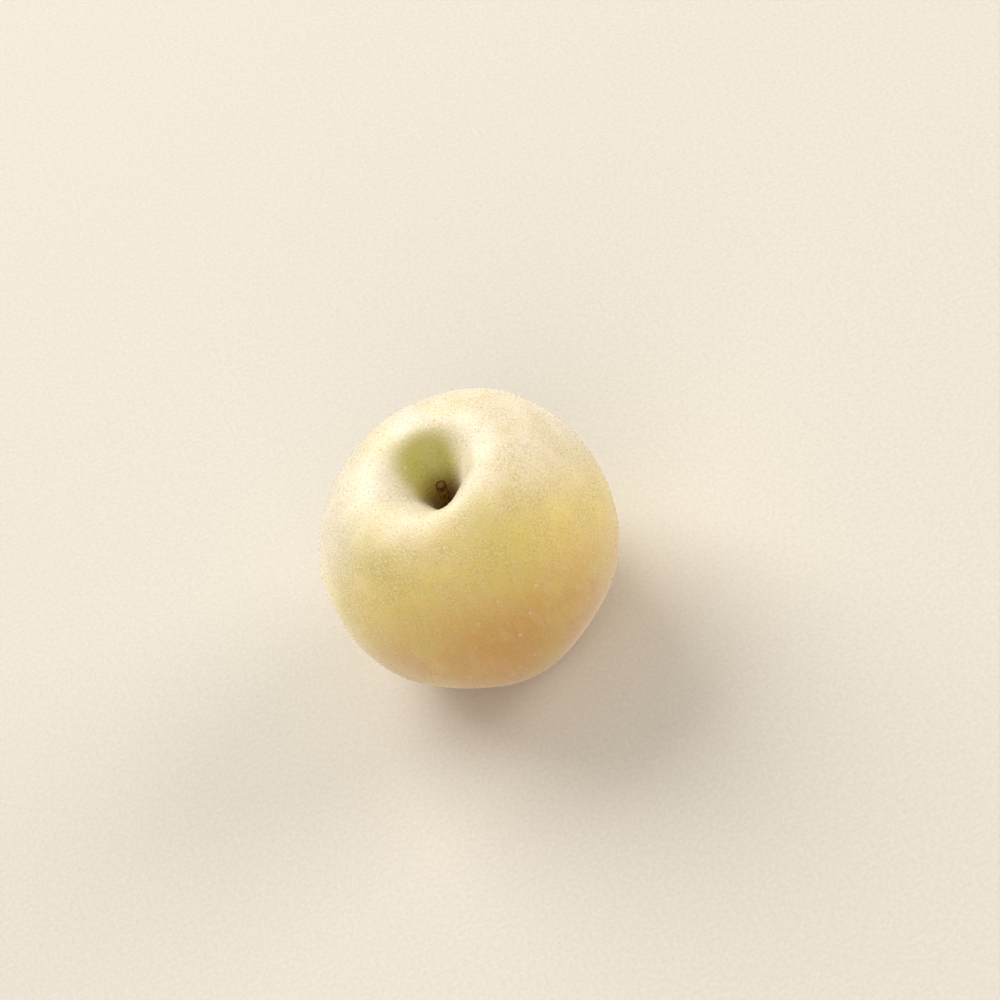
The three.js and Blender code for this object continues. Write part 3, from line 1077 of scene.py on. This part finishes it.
@dataclass
class Stamens:
    """The withered stamens, bent threads with shrunken heads, on a small pad under the button."""

    finish: DriedTissue = DriedTissue("dried stamens, brittle", "#21160c", "#6b5230", 0.35, 0.15)
    count: int = 15
    length_mm: float = 3.5
    thread_mm: float = 0.13
    head_mm: float = 0.3
    ring_mm: float = 1.15
    spread_mm: float = 0.55
    top_mm: float = 8.7
    pad_mm: float = 1.5
    pad_height_mm: float = 0.85
    pad_rim_mm: float = 0.35
    pad_groove_mm: float = 0.2
    pad_step_mm: float = 0.4
    pad_dimple_mm: float = 0.3
    rooted_mm: float = 0.3  # how deep a thread is rooted in the pad
    cuts: tuple[float, ...] = (0.18, 0.42, 0.66, 0.78, 0.86, 0.94)  # along a thread, closer at its head
    head_at: float = 0.88  # the middle of the head, along the thread
    head_length: float = 0.08
    taper: float = 0.35
    lobe: float = 0.22
    seed: int = 5

    def thread(self) -> bpy.types.Object:
        """Model one stamen, hanging from z = 0: a tapered thread with a two-lobed head."""
        bpy.ops.mesh.primitive_cylinder_add(
            vertices=8, radius=self.thread_mm, depth=self.length_mm, location=(0, 0, -self.length_mm / 2)
        )
        thread = bpy.context.object
        settle(thread)
        with all_in_edit_mode(thread):
            for cut in self.cuts:
                bpy.ops.mesh.select_all(action="SELECT")
                bpy.ops.mesh.bisect(plane_co=(0, 0, -cut * self.length_mm), plane_no=(0, 0, 1))

        def swell(point: Vector) -> Vector:
            """Taper the thread and swell its head on one point."""
            down = -point.z / self.length_mm
            head = math.exp(-(((down - self.head_at) / self.head_length) ** 2))
            width = 1 - self.taper * down + head * (self.head_mm / self.thread_mm - 1)
            lobes = 1 + self.lobe * head * math.cos(2 * math.atan2(point.y, point.x))
            return Vector((point.x * width * lobes, point.y * width * lobes, point.z))

        shape(thread, swell)
        return thread

    def build(self, centre: Vector) -> bpy.types.Object:
        """Build the stamens.

        Args:
            centre: The middle of the calyx, at the height of the table.

        Returns:
            The stamens on their pad.
        """
        draw = random.Random(self.seed)
        first = self.thread()
        bpy.ops.mesh.primitive_cylinder_add(
            vertices=16,
            radius=self.pad_mm,
            depth=self.pad_height_mm,
            location=(0, 0, self.top_mm - self.pad_height_mm / 2),
        )
        pad = bpy.context.object
        settle(pad)
        select_faces(pad, lambda face: face.normal.z < -FACING)
        bpy.ops.mesh.inset(thickness=self.pad_rim_mm)
        bpy.ops.transform.translate(value=(0, 0, -self.pad_groove_mm))
        bpy.ops.mesh.inset(thickness=self.pad_step_mm)
        bpy.ops.transform.translate(value=(0, 0, self.pad_dimple_mm))
        bpy.ops.object.mode_set(mode="OBJECT")
        subdivide_smooth(pad, 2)
        threads = []
        for index in range(self.count):
            inner = index % 3 == 2
            ring = self.ring_mm * (0.45 if inner else 1.0) + draw.uniform(-0.08, 0.08)
            bend = self.spread_mm * draw.uniform(0.3, 1.0)
            sway = draw.uniform(-0.35, 0.35)
            share = draw.uniform(0.72, 1.0)
            copy = add_object(f"stamen_{index}", first.data.copy())

            def hang(point: Vector) -> Vector:
                """Bend one point of the thread outwards and sideways, more towards its head."""
                bent = (point.z / self.length_mm) ** 2
                return Vector((point.x + ring + bend * bent, point.y + sway * bent, point.z * share))

            shape(copy, hang)
            turn = index / self.count * math.tau + draw.uniform(-0.12, 0.12)
            lifted = Matrix.Translation((0, 0, self.top_mm - self.rooted_mm))
            copy.data.transform(lifted @ Euler((0, 0, turn)).to_matrix().to_4x4())
            subdivide_smooth(copy, 1)
            threads.append(copy)
        bpy.data.objects.remove(first)
        stamens = join([pad, *threads], "apple_calyx_stamens")
        stamens.data.transform(Matrix.Translation(centre) @ Matrix.Scale(MM, 4))
        finish_piece(stamens, self.finish.material())
        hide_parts("calyx_stamens")
        return stamens


# Dew


@dataclass(frozen=True)
class Bead:
    """One size of dew bead.

    Attributes:
        piece: The name of the piece that its beads make.
        spacing_mm: The least distance from one bead to the next.
        smallest_mm: The smallest radius.
        largest_mm: The largest radius.
        sides: How many sides a bead has round its edge.
        seed: The seed of the scatter.
    """

    piece: str
    spacing_mm: float
    smallest_mm: float
    largest_mm: float
    sides: int
    seed: int


class BeadSize(Enum):
    """The sizes of dew bead on the fruit."""

    FINE = Bead("apple_dew_fine", 1.3, 0.13, 0.24, 6, 1)
    MIDDLING = Bead("apple_dew_beads", 3.6, 0.2, 0.36, 10, 2)


@dataclass
class Dew:
    """Beads of dew scattered over the fruit, sitting on the wax and bulging as water does there."""

    finish: DewWater = DewWater()
    flattening: float = 0.72  # a bead's height against its radius
    sink: float = 0.3  # how far the bead's foot lies under the skin, against its radius
    dry_foot_mm: float = 5.0  # no dew below this height, where the fruit stands
    dry_core_mm: float = 4.5  # and none in the stalk's hole
    dry_core_lift_mm: float = 2.0
    dry_side_mm: tuple[float, float] = (-25.0, 25.0)  # along the ripe side, where the beads thin out
    dry_side_share: float = 0.05  # how densely they lie at the end of that, against the shoulder
    crowding: float = 4.0  # points tried on a square of one spacing
    small_bias: float = 2.2  # above 1, most beads are small
    radius_seed_step: int = 10

    def bead(self, size: Bead) -> bpy.types.Object:
        """Model one bead of radius 1: a round cap, cut off under the skin and closed there.

        Args:
            size: Which size of bead it is for.

        Returns:
            The bead.
        """
        rings = max(size.sides // 2, 4)
        bpy.ops.mesh.primitive_uv_sphere_add(segments=size.sides, ring_count=rings, radius=1.0)
        bead = bpy.context.object
        with all_in_edit_mode(bead):
            bpy.ops.mesh.bisect(
                plane_co=(0, 0, -self.sink), plane_no=(0, 0, 1), use_fill=True, clear_inner=True
            )
            bpy.ops.mesh.select_all(action="SELECT")
            bpy.ops.transform.resize(value=(1, 1, self.flattening))
        settle(bead)
        outward(bead)
        bpy.ops.object.shade_smooth()
        return bead

    def wet_skin(self, tree: bpy.types.NodeTree, stalk_at: Vector) -> tuple[bpy.types.NodeSocket, ...]:
        """Find where dew lies, and how densely.

        Args:
            tree: The geometry node tree.
            stalk_at: The middle of the stalk's foot.

        Returns:
            The output that says where it lies at all, and the one that says how densely.
        """
        place = add_node(tree, "GeometryNodeInputPosition").outputs[0]
        up = add_node(tree, "ShaderNodeSeparateXYZ", inputs={0: place}).outputs[2]
        core_at = (stalk_at.x, stalk_at.y, stalk_at.z + self.dry_core_lift_mm * MM)
        away = add_node(tree, "ShaderNodeVectorMath", {"operation": "DISTANCE"}, {0: place, 1: core_at})
        tests = [
            add_node(tree, "ShaderNodeMath", {"operation": "GREATER_THAN"}, {0: value, 1: least * MM})
            for value, least in ((up, self.dry_foot_mm), (away.outputs["Value"], self.dry_core_mm))
        ]
        both = {0: tests[0].outputs[0], 1: tests[1].outputs[0]}
        wet = add_node(tree, "ShaderNodeMath", {"operation": "MULTIPLY"}, both)
        share = add_node(
            tree,
            "ShaderNodeMapRange",
            inputs={
                "Value": towards(tree, place, RIPE_AND_SHADED_SIDE),
                "From Min": self.dry_side_mm[0] * MM,
                "From Max": self.dry_side_mm[1] * MM,
                "To Min": 1.0,
                "To Max": self.dry_side_share,
            },
        )
        return wet.outputs[0], share.outputs["Result"]

    def scatter(self, size: Bead, bead: bpy.types.Object, stalk_at: Vector) -> bpy.types.NodeTree:
        """Make the node tree that scatters copies of a bead over a mesh.

        Args:
            size: Which size of bead it is.
            bead: The bead to copy.
            stalk_at: The middle of the stalk's foot.

        Returns:
            The geometry node tree.
        """
        tree = bpy.data.node_groups.new(size.piece, "GeometryNodeTree")
        for way in ("INPUT", "OUTPUT"):
            tree.interface.new_socket("Geometry", in_out=way, socket_type="NodeSocketGeometry")
        skin = add_node(tree, "NodeGroupInput").outputs[0]
        wet, share = self.wet_skin(tree, stalk_at)
        spacing = size.spacing_mm * MM
        spots = add_node(
            tree,
            "GeometryNodeDistributePointsOnFaces",
            {"distribute_method": "POISSON"},
            {
                "Mesh": skin,
                "Selection": wet,
                "Distance Min": spacing,
                "Density Max": self.crowding / spacing**2,
                "Density Factor": share,
                "Seed": size.seed,
            },
        )
        draws = {2: 0.0, 3: 1.0, "Seed": size.seed + self.radius_seed_step}
        chance = add_node(tree, "FunctionNodeRandomValue", {"data_type": "FLOAT"}, draws).outputs[1]
        biased = {0: chance, 1: self.small_bias}
        mostly_small = add_node(tree, "ShaderNodeMath", {"operation": "POWER"}, biased)
        radius = add_node(
            tree,
            "ShaderNodeMapRange",
            inputs={
                "Value": mostly_small.outputs[0],
                "To Min": size.smallest_mm * MM,
                "To Max": size.largest_mm * MM,
            },
        )
        model = add_node(tree, "GeometryNodeObjectInfo", inputs={"Object": bead})
        copies = add_node(
            tree,
            "GeometryNodeInstanceOnPoints",
            inputs={
                "Points": spots.outputs["Points"],
                "Instance": model.outputs["Geometry"],
                "Rotation": spots.outputs["Rotation"],
                "Scale": radius.outputs["Result"],
            },
        )
        real = add_node(tree, "GeometryNodeRealizeInstances", inputs={"Geometry": copies.outputs[0]})
        add_node(tree, "NodeGroupOutput", inputs={0: real.outputs[0]})
        return tree

    def build(self, fruit: bpy.types.Object, stalk_at: Vector) -> list[bpy.types.Object]:
        """Build the dew.

        Args:
            fruit: The fruit that it lies on.
            stalk_at: The middle of the stalk's foot.

        Returns:
            One piece for each size of bead.
        """
        water = self.finish.material()
        pieces = []
        for size in (choice.value for choice in BeadSize):
            bead = self.bead(size)
            dew = add_object(size.piece, fruit.data.copy())
            apply_modifier(dew, "NODES", node_group=self.scatter(size, bead, stalk_at))
            bpy.data.objects.remove(bead)
            finish_piece(dew, water)
            pieces.append(dew)
        return pieces


# The studio


@dataclass(frozen=True)
class SoftBox:
    """One soft box: where it hangs, the length of its side, its power and its colour in hex."""

    name: str
    place: tuple[float, float, float]
    side: float
    watts: float
    colour: str


@dataclass
class Studio:
    """The plain floor, the soft lights and the camera, which looks as the photograph's does."""

    elevation: float = 48.0  # the angle between the view and the fruit's equator
    roll: float = 28.0  # how far the core leans to the left in the frame
    distance: float = 0.9
    fruit_width: float = 84 * MM
    middle_height: float = 37 * MM
    fruit_pixels: float = 299.0
    middle_pixel: tuple[float, float] = (467.5, 540.0)
    frame_pixels: int = 1000
    sensor_mm: float = 36.0
    floor_width: float = 60.0  # so wide that its far edge stays out of low views
    paper: PalePaper = PalePaper()
    lamps: tuple[SoftBox, ...] = (
        SoftBox("key", (-1.2, 3.5, 3.0), 3.6, 204.0, "#fffdf8"),
        SoftBox("side", (4.5, 0.3, 2.0), 3.0, 116.0, "#fff8ee"),
        SoftBox("front", (-1.8, -4.8, 3.3), 5.4, 160.0, "#fff6ea"),
    )
    air_colour: str = "#fffdf8"
    air_strength: float = 0.34

    def axes(self) -> tuple[Vector, Vector, Vector]:
        """Give the camera's right, up and backward directions."""
        lift, lean = math.radians(self.elevation), math.radians(self.roll)
        level = Vector((1, 0, 0))
        rise = Vector((0, math.sin(lift), math.cos(lift)))
        right = math.cos(lean) * level - math.sin(lean) * rise
        up = math.cos(lean) * rise + math.sin(lean) * level
        return right, up, Vector((0, -math.cos(lift), math.sin(lift)))

    def camera(self) -> None:
        """Set the camera so that the fruit has its size and place in the photograph's frame."""
        right, up, back = self.axes()
        per_pixel = self.fruit_pixels / self.fruit_width
        half = self.frame_pixels / 2
        aim = Vector((0, 0, self.middle_height))
        aim += right * ((half - self.middle_pixel[0]) / per_pixel)
        aim += up * ((self.middle_pixel[1] - half) / per_pixel)
        camera = add_object("camera", bpy.data.cameras.new("camera"))
        camera.data.sensor_width = self.sensor_mm
        camera.data.lens = self.sensor_mm * self.distance * per_pixel / self.frame_pixels
        turned = Matrix((right, up, back)).transposed().to_4x4()
        camera.matrix_world = Matrix.Translation(aim + back * self.distance) @ turned
        bpy.context.scene.camera = camera

    def hang(self, box: SoftBox) -> None:
        """Hang one soft box so that it faces the fruit."""
        lamp = add_object(box.name, bpy.data.lights.new(box.name, "AREA"))
        lamp.data.size = box.side
        lamp.data.energy = box.watts
        lamp.data.color = linear(box.colour)[:3]
        lamp.location = box.place
        towards_lamp = Vector(box.place) - Vector((0, 0, self.middle_height))
        lamp.rotation_mode = "QUATERNION"
        lamp.rotation_quaternion = towards_lamp.to_track_quat("Z", "Y")

    def build(self) -> None:
        """Build the floor, the lights, the world and the camera."""
        deselect_all()
        bpy.ops.mesh.primitive_plane_add(size=self.floor_width)
        floor = bpy.context.object
        floor.name = "floor"
        floor.data.materials.append(self.paper.material())
        for box in self.lamps:
            self.hang(box)
        world = bpy.data.worlds.new("studio air")
        world.use_nodes = True
        air = world.node_tree.nodes["Background"]
        air.inputs["Color"].default_value = linear(self.air_colour)
        air.inputs["Strength"].default_value = self.air_strength
        bpy.context.scene.world = world
        bpy.context.scene.view_settings.view_transform = "Standard"
        self.camera()


def main() -> None:
    """Build the apple and its studio, piece by piece."""
    logging.basicConfig(level=logging.INFO, format="%(message)s")
    stalk_at = foot_of("stalk")
    calyx_at = foot_of("calyx_stamens")
    calyx_at.z = 0.0
    fruit = Fruit().build(stalk_at)
    Stalk().build()
    Calyx().build(calyx_at)
    Stamens().build(calyx_at)
    Dew().build(fruit, stalk_at)
    Studio().build()


if __name__ == "__main__":
    main()
